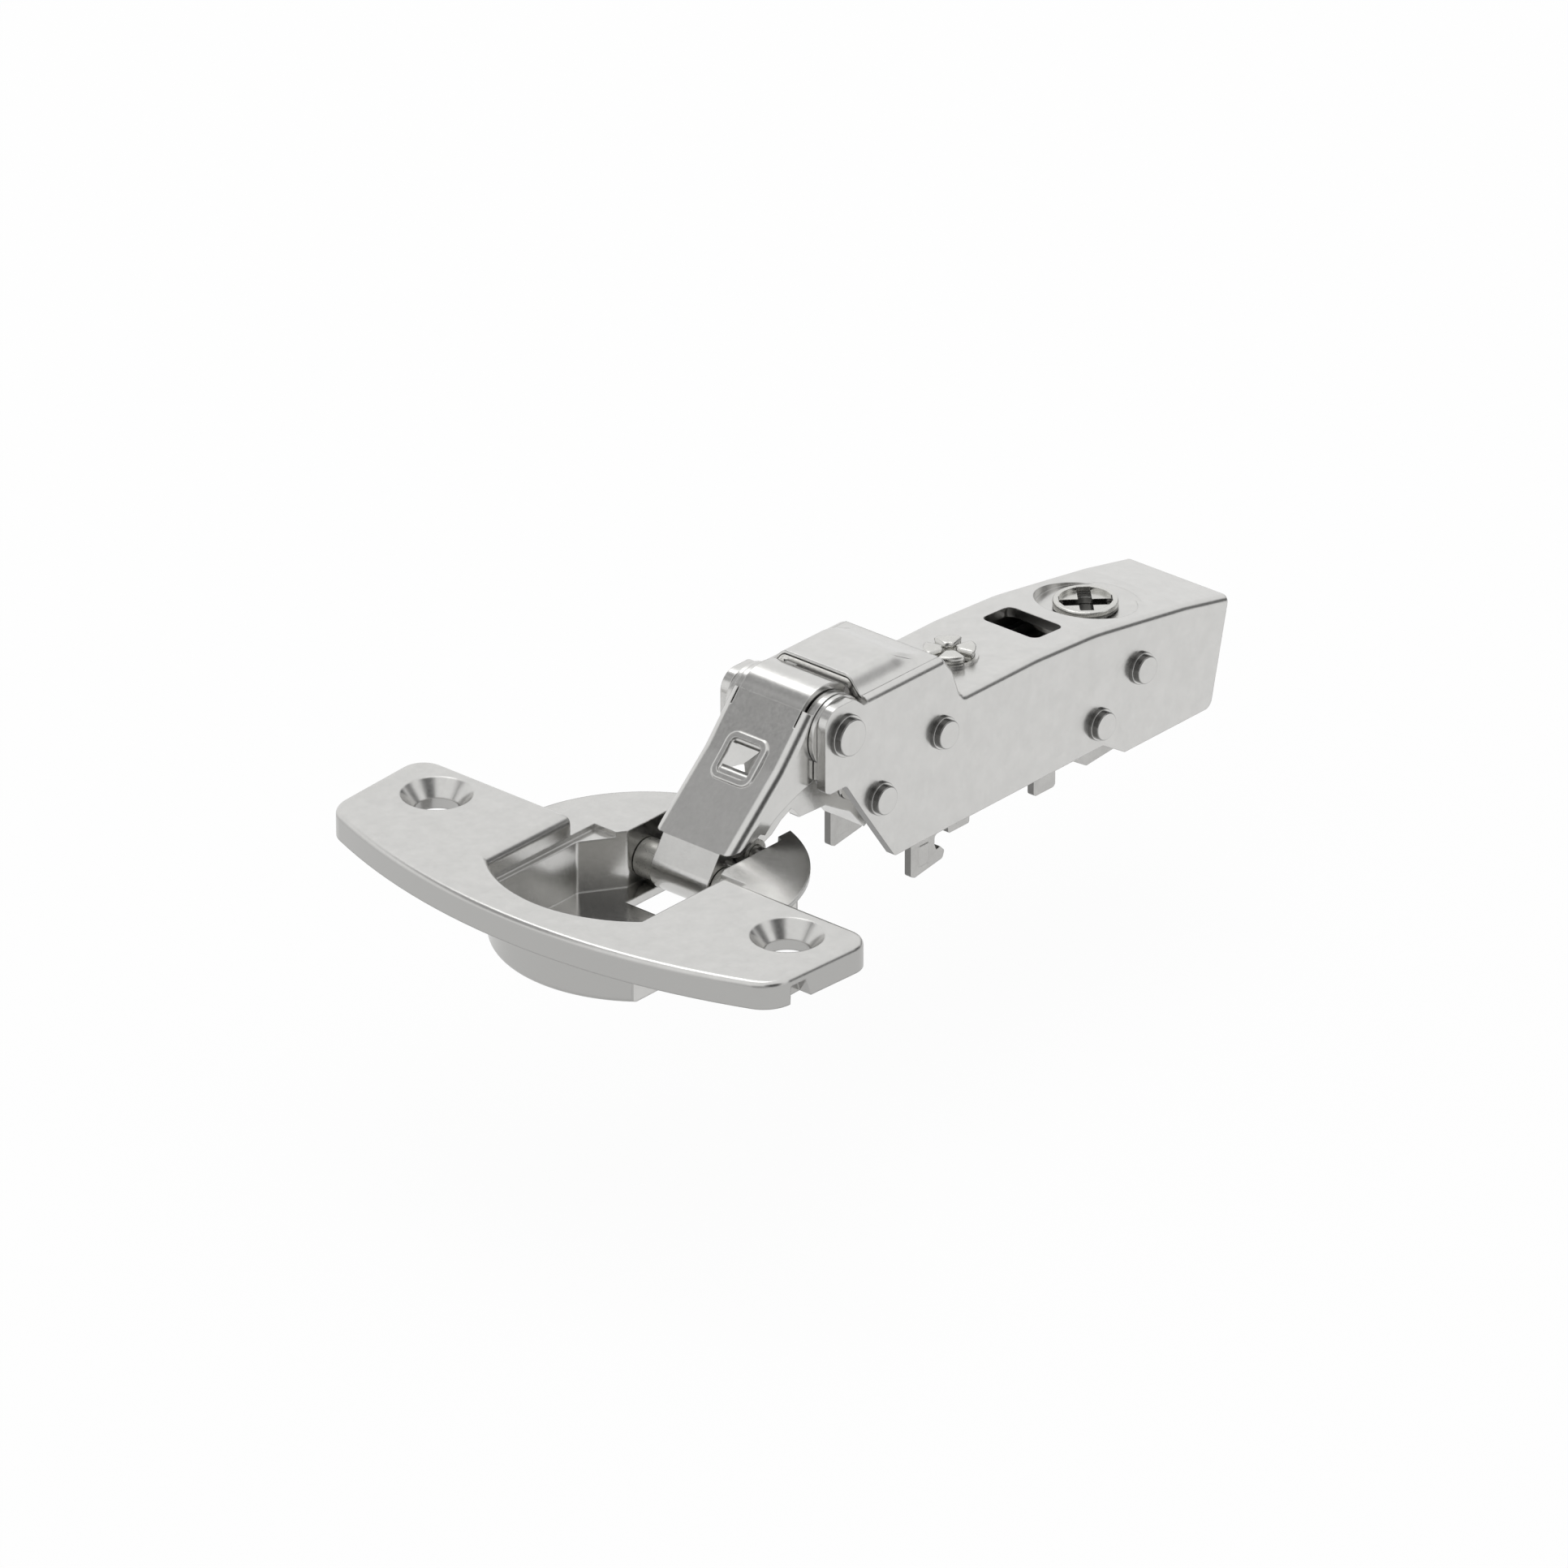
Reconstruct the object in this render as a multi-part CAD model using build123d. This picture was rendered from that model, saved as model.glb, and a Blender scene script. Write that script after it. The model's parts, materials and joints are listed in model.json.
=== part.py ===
from build123d import *
import math
import os

os.makedirs("parts", exist_ok=True)

# Frame: origin on the cup axis at the door surface, +X along the arm, +Z out of the door, millimetres.
# The linkage stands at right angles open, so the arm lies parallel to the door.

# Cup and flange
cup_diameter = 34.8
cup_depth = 7.4
cup_floor = 1.0
flange_thickness = 3.2
flange_back = 0.3
flange_apex = 22.5
flange_bow_radius = 82.0
flange_half_length = 33.8
flange_taper = 0.9
flange_front_corner = 4.0
flange_rim = 0.7
opening_half = 11.2
opening_radius = 17.3
opening_rim = 1.2
notch_depth = 1.6
screw_spacing = 52.0
screw_offset = 5.5
screw_hole_diameter = 5.2
countersink_diameter = 8.3
crescent_diameter = 37.0
crescent_thickness = 0.63
crescent_relief = 0.05
cavity_wall_far = 10.4
cavity_wall_near = 9.3
near_flat = 10.6
slot_bottom = -4.5

# Pivots in side view (x, z)
outer_cup_pivot = (8.4, -3.7)
inner_cup_pivot = (13.5, -1.5)
outer_arm_pivot = (25.2, 10.0)
inner_arm_pivot = (31.1, -0.1)
running_clearance = 0.05
face_clearance = 0.1

# Widths across the hinge, from the arm inwards
arm_half = 7.8
arm_gauge = 1.2
cheek_gauge = 0.57
cheek_float = 0.04
ear_gauge = 1.1
rail_gauge = 0.9
rail_play = 0.15
arm_inner = arm_half - arm_gauge
link_half = arm_inner - cheek_float - cheek_gauge - face_clearance
knuckle_half = link_half - ear_gauge - 2 * face_clearance
eye_half = knuckle_half - 0.4
inner_half = eye_half - 1.2
slot_half = link_half + 0.5
cavity_rear_half = slot_half + 0.8
window_half = eye_half + 0.6
rail_half = arm_inner - rail_play
slide_half = rail_half - rail_gauge - 2 * face_clearance
latch_half = slide_half - 0.05

# Outer link
link_gauge = 1.2
ear_radius = 4.4
knuckle_radius = 5.2
cup_pin_radius = 1.45
emboss_at = (16.2, 7.75)
emboss_width = 6.1
emboss_window = 4.4
emboss_height = 0.35
emboss_depth = 0.95
eye_radius = cup_pin_radius + running_clearance + link_gauge
axle_radius = 1.6
bush_gauge = 0.45

# Inner link
inner_gauge = 1.1
inner_pin_radius = 1.15
inner_eye_radius = 2.25
stub_radius = 1.5

# Arm
arm_front = 21.7
arm_rear = 92.2
arm_step = 73.8
hood_front = 29.0
hood_top = 13.2
hood_rear = 42.6
hump_top = 15.1
hump_half = 6.2
hump_crest_half = 4.9
hump_rear = 40.5
hump_crest_rear = 36.0
rear_web_front = 45.3
rear_web_top = 7.3
window_length = 5.2
window_width = 8.2
rivet_head_height = 1.1
rivet_ring_height = 0.4
rivet_crown_share = 0.87
arm_bend = 0.9
spring_rivet_at = (41.7, 4.15)
rear_upper_at = (arm_rear - 15.7, -0.7)
rear_lower_at = (arm_rear - 22.9, -5.2)

# Adjusting screws
side_screw_x = 52.0
side_screw_radius = 2.85
side_nut_radius = 3.3
depth_screw_x = arm_rear - 16.3
depth_screw_radius = 3.8
dish_radius = 6.0
dish_floor = 4.75
neck_radius = 2.5
recess_width = 1.6
recess_length = 6.2
scroll_radius = 5.1
scroll_pitch = 2.8
scroll_ridge = 1.1
scroll_hub = 1.5

# Base rail, depth slide and clip
rail_web_top = 3.5
slide_gauge = 1.05
slide_web_top = 0.9
slide_travel = 2.0
slide_front = depth_screw_x - 10.3
slide_rear = arm_rear - 9.0
rail_web_front = 46.6
rail_web_rear = depth_screw_x - 9.9
rail_rear = arm_rear - 4.2
tilt_pin_at = (slide_rear - 3.7, -6.5)
tilt_pin_radius = 1.5
latch_pin_at = (rail_rear - 2.2, -4.6)
latch_pin_radius = 1.2
spring_wire = 1.1


def outline(corners):
    """Closed profile through corners; a third number rounds that corner."""
    count = len(corners)
    starts = []
    ends = []
    edges = []
    for index, corner in enumerate(corners):
        here = Vector(corner[0], corner[1])
        radius = corner[2] if len(corner) > 2 else 0
        before = Vector(*corners[index - 1][:2]) - here
        after = Vector(*corners[(index + 1) % count][:2]) - here
        if radius == 0:
            starts.append(here)
            ends.append(here)
            continue
        half = math.radians(before.get_angle(after)) / 2
        back = before.normalized()
        on = after.normalized()
        reach = radius / math.tan(half)
        bisector = (back + on).normalized()
        middle = here + bisector * (radius / math.sin(half) - radius)
        starts.append(here + back * reach)
        ends.append(here + on * reach)
        edges.append(ThreePointArc(starts[-1], middle, ends[-1]))
    for index in range(count):
        following = starts[(index + 1) % count]
        if (following - ends[index]).length > 1e-6:
            edges.append(Line(ends[index], following))
    return make_face(edges)


def side_plate(corners, inner, outer):
    """Side-view profile given depth from y = inner to y = outer."""
    face = Plane.XZ * outline(corners)
    return Pos(0, inner, 0) * extrude(face, amount=outer - inner, dir=(0, 1, 0))


def centred_plate(corners, half):
    return side_plate(corners, -half, half)


def plate_pair(corners, inner, outer):
    one = side_plate(corners, inner, outer)
    return one + mirror(one, about=Plane.XZ)


def plan_plate(corners, bottom, top):
    """Plan-view profile given depth from z = bottom to z = top."""
    return Pos(0, 0, bottom) * extrude(outline(corners), amount=top - bottom, dir=(0, 0, 1))


def cross_rod(at, radius, inner, outer):
    """Rod along Y at a side-view point."""
    return Pos(at[0], (inner + outer) / 2, at[1]) * Rot(90, 0, 0) * Cylinder(radius, outer - inner)


def upright_rod(x, y, radius, bottom, top):
    return Pos(x, y, (bottom + top) / 2) * Cylinder(radius, top - bottom)


def side_box(x0, x1, half, z0, z1):
    return Pos((x0 + x1) / 2, 0, (z0 + z1) / 2) * Box(x1 - x0, 2 * half, z1 - z0)


def polar(centre, radius, degrees):
    angle = math.radians(degrees)
    return (centre[0] + radius * math.cos(angle), centre[1] + radius * math.sin(angle))


def flange_plate():
    """Winged flange with a bowed front edge and rounded top rim."""
    bow_centre = flange_bow_radius - flange_apex
    corner_y = flange_half_length - flange_taper
    corner_x = bow_centre - math.sqrt(flange_bow_radius**2 - corner_y**2)
    back_far = (flange_back, flange_half_length)
    back_near = (flange_back, -flange_half_length)
    edges = [
        Line(back_near, back_far),
        Line(back_far, (corner_x, corner_y)),
        ThreePointArc((corner_x, corner_y), (-flange_apex, 0), (corner_x, -corner_y)),
        Line((corner_x, -corner_y), back_near),
    ]
    plate = extrude(make_face(edges), amount=flange_thickness, dir=(0, 0, 1))
    upright = plate.edges().filter_by(Axis.Z)
    plate = fillet(upright.filter_by(lambda e: e.center().X > -5), 3.0)
    upright = plate.edges().filter_by(Axis.Z)
    plate = fillet(upright.filter_by(lambda e: e.center().X < -12), flange_front_corner)
    rim = plate.faces().sort_by(Axis.Z)[-1].edges()
    return fillet(rim, flange_rim)


def crescent():
    """Thin half ring that covers the rim of the bored hole behind the flange."""
    disc = upright_rod(0, 0, crescent_diameter / 2, crescent_relief, crescent_thickness)
    front = side_box(-40, flange_back, 40, -1, 2)
    return disc - front


def cup_cavity():
    """Hollow of the cup: round at the front, narrowing to the link channel at the rear."""
    floor = -cup_depth + cup_floor
    plan = [
        (-20, -cavity_wall_near),
        (0.6, -cavity_wall_near, 1.0),
        (5.4, -cavity_rear_half, 0.6),
        (15.6, -cavity_rear_half, 1.0),
        (15.6, cavity_rear_half, 1.0),
        (5.4, cavity_rear_half, 0.6),
        (0.6, cavity_wall_far, 1.0),
        (-20, cavity_wall_far),
    ]
    channel = plan_plate(plan, floor, flange_thickness + 1)
    round_wall = Pos(0, 0, floor) * Cone(16.0, 16.9, flange_thickness + 1 - floor, align=(
        Align.CENTER, Align.CENTER, Align.MIN))
    return channel & round_wall


def flange_opening():
    """D-shaped opening through the flange; its upper edge flares out in a round."""
    disc = upright_rod(0, 0, opening_radius, 0, flange_thickness + 0.5)
    bar = side_box(-20, flange_back + 4, opening_half, 0, flange_thickness + 0.5)
    above = side_box(-22, flange_back + 4, opening_half + 4, flange_thickness, flange_thickness + 1)
    tool = (disc & bar) + above
    throat = tool.edges().filter_by(opening_edge)
    return fillet(throat, opening_rim)


def opening_edge(edge):
    """True for the edges where the opening meets the top of the flange."""
    middle = edge.center()
    level = abs(middle.Z - flange_thickness) < 1e-3
    inside = abs(middle.Y) < opening_half + 0.1 and middle.X > -opening_radius - 0.1
    return level and inside and middle.X < flange_back + 3.9


def rear_slot():
    """Way out for the two links through the rear wall and its rim."""
    return side_box(13.0, 20, slot_half, slot_bottom, 4)


def cup():
    """Die-cast cup with flange, pin seats, floor window and countersunk screw holes."""
    body = upright_rod(0, 0, cup_diameter / 2, -cup_depth, crescent_thickness)
    body = fillet(body.faces().sort_by(Axis.Z)[0].edges(), 0.7)
    body -= Pos(0, -near_flat - 10, -cup_depth / 2 - 1) * Box(60, 20, cup_depth + 2)
    body = body + flange_plate() + crescent()
    body -= cup_cavity() + rear_slot()
    body -= flange_opening()
    body -= side_box(2.4, 9.9, window_half, -cup_depth - 1, -cup_depth + cup_floor + 0.2)
    for side in (-1, 1):
        y = side * screw_spacing / 2
        body -= upright_rod(-screw_offset, y, screw_hole_diameter / 2, -1, flange_thickness + 1)
        sink = Cone(screw_hole_diameter / 2, countersink_diameter / 2, 1.9)
        body -= Pos(-screw_offset, y, flange_thickness - 0.95) * sink
    for pivot, radius in ((outer_cup_pivot, cup_pin_radius), (inner_cup_pivot, inner_pin_radius)):
        body -= cross_rod(pivot, radius, -near_flat - 1, 9.2)
    notch_wall = -flange_half_length + notch_depth + 0.6
    notch = side_plate([(-13.1, -1), (-9.5, -1), (-10.6, 2.2), (-12.9, 2.2)], -40, notch_wall)
    return body - notch


def outer_link_cup_pin():
    return cross_rod(outer_cup_pivot, cup_pin_radius, -near_flat + 0.1, 9.1)


def inner_link_cup_pin():
    return cross_rod(inner_cup_pivot, inner_pin_radius, -near_flat + 0.1, 9.1)


def spacer(pivot, hole, wall, inner, outer, side):
    """Plastic ring that keeps a link centred in the cup channel."""
    ring = cross_rod(pivot, hole + running_clearance + wall, inner, outer)
    ring -= cross_rod(pivot, hole + running_clearance, inner - 1, outer + 1)
    return ring if side > 0 else mirror(ring, about=Plane.XZ)


def outer_link_channel():
    """Folded front plate with side flanges that end in ears round the axle."""
    rear = [(9.3, -0.2), (11.4, 0.9), (12.9, 1.65), (13.7, 1.25), (15.2, 2.5), (17.6, 3.6), (20.2, 4.5)]
    rear += [(24.9, 5.61)]
    skin = [(21.3, 13.45), (16.4, 7.9, 8.0), (8.0, 0.5)] + rear + [(25.2, 10.0)]
    shell = centred_plate(skin, link_half)
    shell = fillet(shell.edges().filter_by(front_edge), 1.2)
    pocket = [(22.9, 13.6), (17.25, 7.15, 1.0), (9.3, -0.2), (10.5, -2.0), (30, -2), (30, 20), (22.9, 20)]
    shell -= centred_plate(pocket, link_half - ear_gauge)
    ear = cross_rod(outer_arm_pivot, ear_radius, link_half - ear_gauge, link_half)
    shell += ear + mirror(ear, about=Plane.XZ)
    above = [(18.3, 11.85), (21.5, 11.85), (23.3, 20), (15, 20)]
    shell -= plate_pair(above, knuckle_half, link_half - ear_gauge)
    return shell


def front_edge(edge):
    """True for the long side edges of the front plate."""
    middle = edge.center()
    along = abs(edge.tangent_at(0.5).Y) < 0.1
    side = abs(abs(middle.Y) - link_half) < 1e-3
    ahead = middle.Z > 1.02 * (middle.X - 8.6) + 0.05
    return along and side and ahead


def knuckle():
    """Curved cover of the spring, an arc of the sheet round the axle."""
    tube = cross_rod(outer_arm_pivot, knuckle_radius, -knuckle_half, knuckle_half)
    tube -= cross_rod(outer_arm_pivot, knuckle_radius - link_gauge, -knuckle_half - 1, knuckle_half + 1)
    far = 12.0
    wedge = [outer_arm_pivot]
    for angle in (-18, -70, -120, -165, 178, 141):
        wedge.append(polar(outer_arm_pivot, far, angle))
    return tube - centred_plate(wedge, knuckle_half + 2)


def link_eye():
    """Tongue of the sheet rolled round the cup pin."""
    x, z = outer_cup_pivot
    roll = cross_rod(outer_cup_pivot, eye_radius, -eye_half, eye_half)
    touch = polar(outer_cup_pivot, eye_radius, 147)
    inside = polar(outer_cup_pivot, eye_radius - link_gauge, 147)
    tongue = [(8.0, 0.5), touch, inside, (7.9, -1.5), (9.6, -0.2), (9.4, 1.2)]
    roll += centred_plate(tongue, eye_half)
    roll -= cross_rod(outer_cup_pivot, cup_pin_radius + running_clearance, -eye_half - 1, eye_half + 1)
    gap = [(x + 0.3, z + 0.4), (x + 2.0, z + 1.0), (x + 3.4, z + 2.4), (x + 1.2, z + 3.4)]
    return roll - centred_plate(gap, eye_half + 1)


def emboss_plane():
    """Plane on the crease of the front plate, facing outwards."""
    return Plane(origin=(emboss_at[0], 0, emboss_at[1]), x_dir=(0, 1, 0), z_dir=(-1, 0, 1))


def link_emboss():
    """Raised rounded frame pressed up out of the front plate."""
    plane = emboss_plane()
    outer = plane.offset(-0.6) * RectangleRounded(emboss_width, emboss_width, 1.4)
    ridge = extrude(outer, amount=0.6 + emboss_height, dir=plane.z_dir)
    crest = ridge.faces().sort_by(Axis((0, 0, 0), plane.z_dir))[-1].edges()
    ridge = fillet(crest, emboss_height * 0.9)
    inner = plane.offset(-0.02) * RectangleRounded(emboss_window, emboss_window, 0.7)
    return ridge - extrude(inner, amount=2, dir=plane.z_dir)


def emboss_recess():
    """Inverted pyramid pressed in inside the frame."""
    plane = emboss_plane()
    mouth = plane.offset(0.05) * Rectangle(emboss_window, emboss_window)
    point = plane.offset(-emboss_depth) * Rectangle(0.12, 0.12)
    return loft([mouth, point])


def outer_link():
    """Outer link, folded from one sheet: ears, knuckle, front plate and rolled eye."""
    link = outer_link_channel() + knuckle() + link_eye() + link_emboss() - emboss_recess()
    return link - cross_rod(outer_arm_pivot, axle_radius + running_clearance, -link_half - 1, link_half + 1)


def knuckle_bush():
    """Plain tube between the ears that the closing spring is wound round."""
    half = link_half - ear_gauge - face_clearance
    bore = axle_radius + running_clearance
    bush = cross_rod(outer_arm_pivot, bore + bush_gauge, -half, half)
    return bush - cross_rod(outer_arm_pivot, bore, -half - 1, half + 1)


def inner_link_flank():
    top = [(13.5, 0.75), (15.6, 0.45), (17.6, 0.42), (19.6, 1.5), (23.0, 2.6), (28.0, 2.9), (31.1, 2.5)]
    bottom = [(33.6, -0.1), (34.6, -5.9), (33.8, -6.3), (31.4, -3.5), (28.9, -2.1), (27.2, -1.1)]
    nose = [(22.9, -0.9), (22.0, 0.2), (21.4, 0.7), (19.7, -0.1), (18.1, -1.3), (15.7, -2.2)]
    return top + bottom + nose + [(13.5, -3.7)]


def inner_link():
    """Inner link, a narrow channel cranked over the cup rim, with an eye at each end."""
    profile = inner_link_flank()
    link = centred_plate(profile, inner_half)
    link += cross_rod(inner_cup_pivot, inner_eye_radius, -inner_half, inner_half)
    link += cross_rod(inner_arm_pivot, 2.6, -inner_half, inner_half)
    hollow = [(16.2, 2), (17.6, -0.6), (19.6, 0.9), (22.5, 0.5), (23.5, 0.15), (27.5, 0.05), (29.3, -0.85)]
    hollow += [(32.2, -2.6), (34.0, -4.4), (36, -4.4), (36, 6), (16.2, 6)]
    link -= centred_plate(hollow, inner_half - inner_gauge)
    link -= cross_rod(inner_cup_pivot, inner_pin_radius + running_clearance, -9, 9)
    return link - cross_rod(inner_arm_pivot, stub_radius, -9, 9)


def arm_wall_outline():
    """Side outline of the arm from the hood to the rear end."""
    top = [(hood_front, hood_top), (42.2, hood_top, 1.2), (43.9, 11.0, 3.0), (rear_web_front, rear_web_top, 1.0)]
    top += [(58.0, rear_web_top, 30), (68.5, 6.65, 30), (arm_rear - 15.4, 5.4), (arm_rear - 7.6, 4.2)]
    top += [(arm_rear, 2.65)]
    rear = [(arm_rear - 3.0, -10.5, 1.2), (arm_step, -10.5, 0.4), (arm_step - 3.85, -8.2, 0.4), (33.6, -8.3, 0.4)]
    return top + rear + [(28.4, -0.95)]


def arm_shell():
    """Folded channel under one outline, before the holes."""
    block = centred_plate(arm_wall_outline(), arm_half)
    block = fillet(block.edges().filter_by(arm_top_edge), arm_bend)
    inside = [(28, hood_top - arm_gauge), (41.2, hood_top - arm_gauge), (42.6, 10.6), (44.2, 6.1)]
    inside += [(58.0, 6.1, 30), (68.3, 5.45, 30), (arm_rear - 15.6, 4.2), (arm_rear - 7.8, 3.0)]
    inside += [(arm_rear + 2.8, 0.9), (arm_rear + 2.8, -20), (28, -20)]
    hollow = centred_plate(inside, arm_inner)
    return block - hollow


def arm_top_edge(edge):
    """True for the long bends between the web and the side walls."""
    middle = edge.center()
    side = abs(abs(middle.Y) - arm_half) < 1e-3
    along = abs(edge.tangent_at(0.5).Y) < 0.1
    upper = middle.Z > 3.0 and middle.X > hood_front + 0.2
    return side and along and upper


def arm_lobe():
    """Front end of a side wall, rounded over the knuckle."""
    corners = [
        (arm_front, 4.05, 0.5), (arm_front, 13.95, 2.3), (26.6, 13.95, 1.2), (28.2, 12.6, 0.5),
        (30.5, 12.6), (30.5, -3.9), (28.4, -0.95), (25.3, 3.6, 0.6), (22.6, 3.6),
    ]
    return plate_pair(corners, arm_inner, arm_half)


def hump(front, rear_base, rear_top, half_base, half_top, bottom, top):
    """Tapered hump of the hood over the knuckle."""
    base = Pos((front + rear_base) / 2, 0, bottom) * Rectangle(rear_base - front, 2 * half_base)
    crest = Pos((front + rear_top) / 2, 0, top) * Rectangle(rear_top - front, 2 * half_top)
    solid = loft([base, crest])
    upper = solid.edges().filter_by(lambda e: e.center().Z > top - 1e-3 and e.center().X > front + 0.1)
    return fillet(upper, 1.0)


def arm_body():
    """Arm, folded from one sheet: lobes, humped hood, open gap, rear web with window and dish."""
    arm = arm_shell() + arm_lobe()
    arm += hump(hood_front, hump_rear, hump_crest_rear, hump_half, hump_crest_half, hood_top - 0.3, hump_top)
    arm -= hump(hood_front - 2, hump_rear - 0.9, hump_crest_rear - 1.0, hump_half - 0.8, hump_crest_half - 0.15,
                hood_top - arm_gauge - 0.2, hump_top - arm_gauge + 0.05)
    arm -= side_box(hood_rear, rear_web_front, 6.0, 4, 20)
    arm -= cross_rod(outer_arm_pivot, knuckle_radius + 0.3, -knuckle_half - 0.15, knuckle_half + 0.15)
    arm -= cross_rod(outer_arm_pivot, ear_radius + 0.3, -link_half - 0.1, link_half + 0.1)
    arm += upright_rod(depth_screw_x, 0, dish_radius + 0.55, dish_floor - arm_gauge, dish_floor)
    arm -= upright_rod(depth_screw_x, 0, dish_radius, dish_floor, 12)
    arm -= upright_rod(depth_screw_x, 0, neck_radius + 0.1, 0, 12)
    arm -= upright_rod(side_screw_x, 0, side_nut_radius, 0, 12)
    arm -= web_window()
    for at, radius in rivet_shanks():
        arm -= cross_rod(at, radius, -arm_half - 1, arm_half + 1)
    return arm


def web_window():
    """Rectangular window between the two adjusting screws."""
    rear = depth_screw_x - dish_radius - 2.6
    front = rear - window_length
    half = window_width / 2
    return plan_plate([(front, -half, 1), (rear, -half, 1), (rear, half, 1), (front, half, 1)], 3, 12)


def rivet_shanks():
    return (
        (outer_arm_pivot, axle_radius), (inner_arm_pivot, stub_radius), (spring_rivet_at, 1.4),
        (rear_upper_at, 1.3), (rear_lower_at, 1.5),
    )


def rivet_end(at, radius, head_radius, inner):
    """Shank from y = inner outwards with a flat washer-like head and a smaller crown."""
    shank = cross_rod(at, radius, inner, arm_half + 0.1)
    head = cross_rod(at, head_radius, arm_half, arm_half + rivet_ring_height)
    crown = cross_rod(at, head_radius * rivet_crown_share, arm_half, arm_half + rivet_head_height)
    crown = chamfer(crown.faces().sort_by(Axis.Y)[-1].edges(), 0.15)
    head = chamfer(head.faces().sort_by(Axis.Y)[-1].edges(), 0.12)
    return shank + head + crown


def through_rivet(at, radius, head_radius):
    end = rivet_end(at, radius, head_radius, 0)
    return end + mirror(end, about=Plane.XZ)


def short_rivet(at, radius, head_radius, inner, side):
    end = rivet_end(at, radius, head_radius, inner)
    return end if side > 0 else mirror(end, about=Plane.XZ)


def cheek(side):
    """Thin plate between ear and wall that takes the wear."""
    outer = arm_inner - cheek_float
    corners = [(21.8, 4.6, 1.0), (21.8, 10.0), (25.2, 14.3), (29.5, 11.0), (34.2, 1.0, 2.0), (32.6, -3.2, 1.5)]
    corners += [(29.6, -1.9, 0.8), (26.2, 3.3, 1.0)]
    plate = side_plate(corners, outer - cheek_gauge, outer)
    plate -= side_plate([(10, 10.0), (25.2, 10.0), (30, 20), (10, 20)], outer - 2, outer + 2)
    plate += cross_rod(outer_arm_pivot, 4.3, outer - cheek_gauge, outer)
    plate -= cross_rod(outer_arm_pivot, axle_radius, 0, 20)
    plate -= cross_rod(inner_arm_pivot, stub_radius, 0, 20)
    return plate if side > 0 else mirror(plate, about=Plane.XZ)


def closing_spring():
    """Torsion spring on the axle bush with one leg laid over the spring rivet."""
    radius = 3.05
    half = 2.75
    pitch = 2 * half / 4
    coil = Helix(pitch=pitch, height=2 * half, radius=radius)
    coil = Pos(outer_arm_pivot[0], half, outer_arm_pivot[1]) * Rot(90, 0, 0) * Rot(0, 0, -92.8) * coil
    leg = Line(coil @ 1, coil @ 1 + (coil % 1) * 18.6)
    path = Wire([coil, leg])
    section = Plane(origin=path @ 0, z_dir=path % 0) * Circle(spring_wire / 2)
    return sweep(section, path=path, transition=Transition.ROUND)


def side_screw_nut():
    """Threaded collar pressed into the web for the side adjusting screw."""
    ring = upright_rod(side_screw_x, 0, side_nut_radius, 5.3, rear_web_top + 0.3)
    return ring - upright_rod(side_screw_x, 0, side_screw_radius + running_clearance, 4, 9)


def side_adjust_screw():
    """Grub screw with a necked foot that holds the rail at its slot."""
    top = rear_web_top + 0.9
    screw = upright_rod(side_screw_x, 0, side_screw_radius, 5.3, top)
    screw = chamfer(screw.faces().sort_by(Axis.Z)[-1].edges(), 0.3)
    screw += upright_rod(side_screw_x, 0, 1.2, 0.8, 5.5)
    screw += upright_rod(side_screw_x, 0, 2.2, 0.2, 1.2)
    for turn in (0, 90):
        screw -= Pos(side_screw_x, 0, top) * Rot(0, 0, turn) * Box(2.4 * side_screw_radius, 1.3, 2.2)
    return screw


def depth_screw_washer():
    """Spring ring between the dish floor and the screw head."""
    ring = upright_rod(depth_screw_x, 0, 3.5, dish_floor, dish_floor + 0.15)
    return ring - upright_rod(depth_screw_x, 0, neck_radius + 0.1, 0, 9)


def spiral_ridge(bottom, top):
    """Face scroll: a ridge whose radius grows evenly with the angle."""
    inner = []
    outer = []
    start = scroll_hub
    turns = (scroll_radius - scroll_ridge - start) / scroll_pitch
    steps = 24
    for step in range(steps + 1):
        angle = 2 * math.pi * turns * step / steps
        radius = start + scroll_pitch * turns * step / steps
        inner.append((radius * math.cos(angle), radius * math.sin(angle)))
        wide = radius + scroll_ridge
        outer.append((wide * math.cos(angle), wide * math.sin(angle)))
    edges = [Spline(*inner), Line(inner[-1], outer[-1]), Spline(*outer), Line(inner[0], outer[0])]
    ridge = Pos(depth_screw_x, 0, bottom) * extrude(make_face(edges), amount=top - bottom, dir=(0, 0, 1))
    return ridge


def depth_adjust_screw():
    """Cross-slotted head above the dish, face scroll below it."""
    top = dish_floor + 1.05
    head = upright_rod(depth_screw_x, 0, depth_screw_radius, dish_floor + 0.2, top)
    head = fillet(head.faces().sort_by(Axis.Z)[-1].edges(), 0.25)
    head -= upright_rod(depth_screw_x, 0, depth_screw_radius - 0.7, top - 0.45, top + 1)
    for turn in (45, 135):
        head -= Pos(depth_screw_x, 0, top - 0.6) * Rot(0, 0, turn) * Box(recess_length, recess_width, 2.6)
    neck = upright_rod(depth_screw_x, 0, neck_radius, 3.0, dish_floor + 0.3)
    neck -= Pos(depth_screw_x, 0, 4.9) * Rot(0, 0, 45) * Box(recess_length, recess_width, 2.0)
    neck -= Pos(depth_screw_x, 0, 4.9) * Rot(0, 0, 135) * Box(recess_length, recess_width, 2.0)
    disc = upright_rod(depth_screw_x, 0, scroll_radius, 2.3, dish_floor - arm_gauge - 0.1)
    return head + neck + disc + spiral_ridge(1.25, 2.35)


def slot(at, half_length, half_height, inner, outer):
    """Round-ended slot through a flank."""
    x, z = at
    ends = half_length - half_height
    bar = side_plate([(x - ends, z - half_height), (x + ends, z - half_height),
                      (x + ends, z + half_height), (x - ends, z + half_height)], inner, outer)
    bar += cross_rod((x - ends, z), half_height, inner, outer)
    return bar + cross_rod((x + ends, z), half_height, inner, outer)


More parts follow.
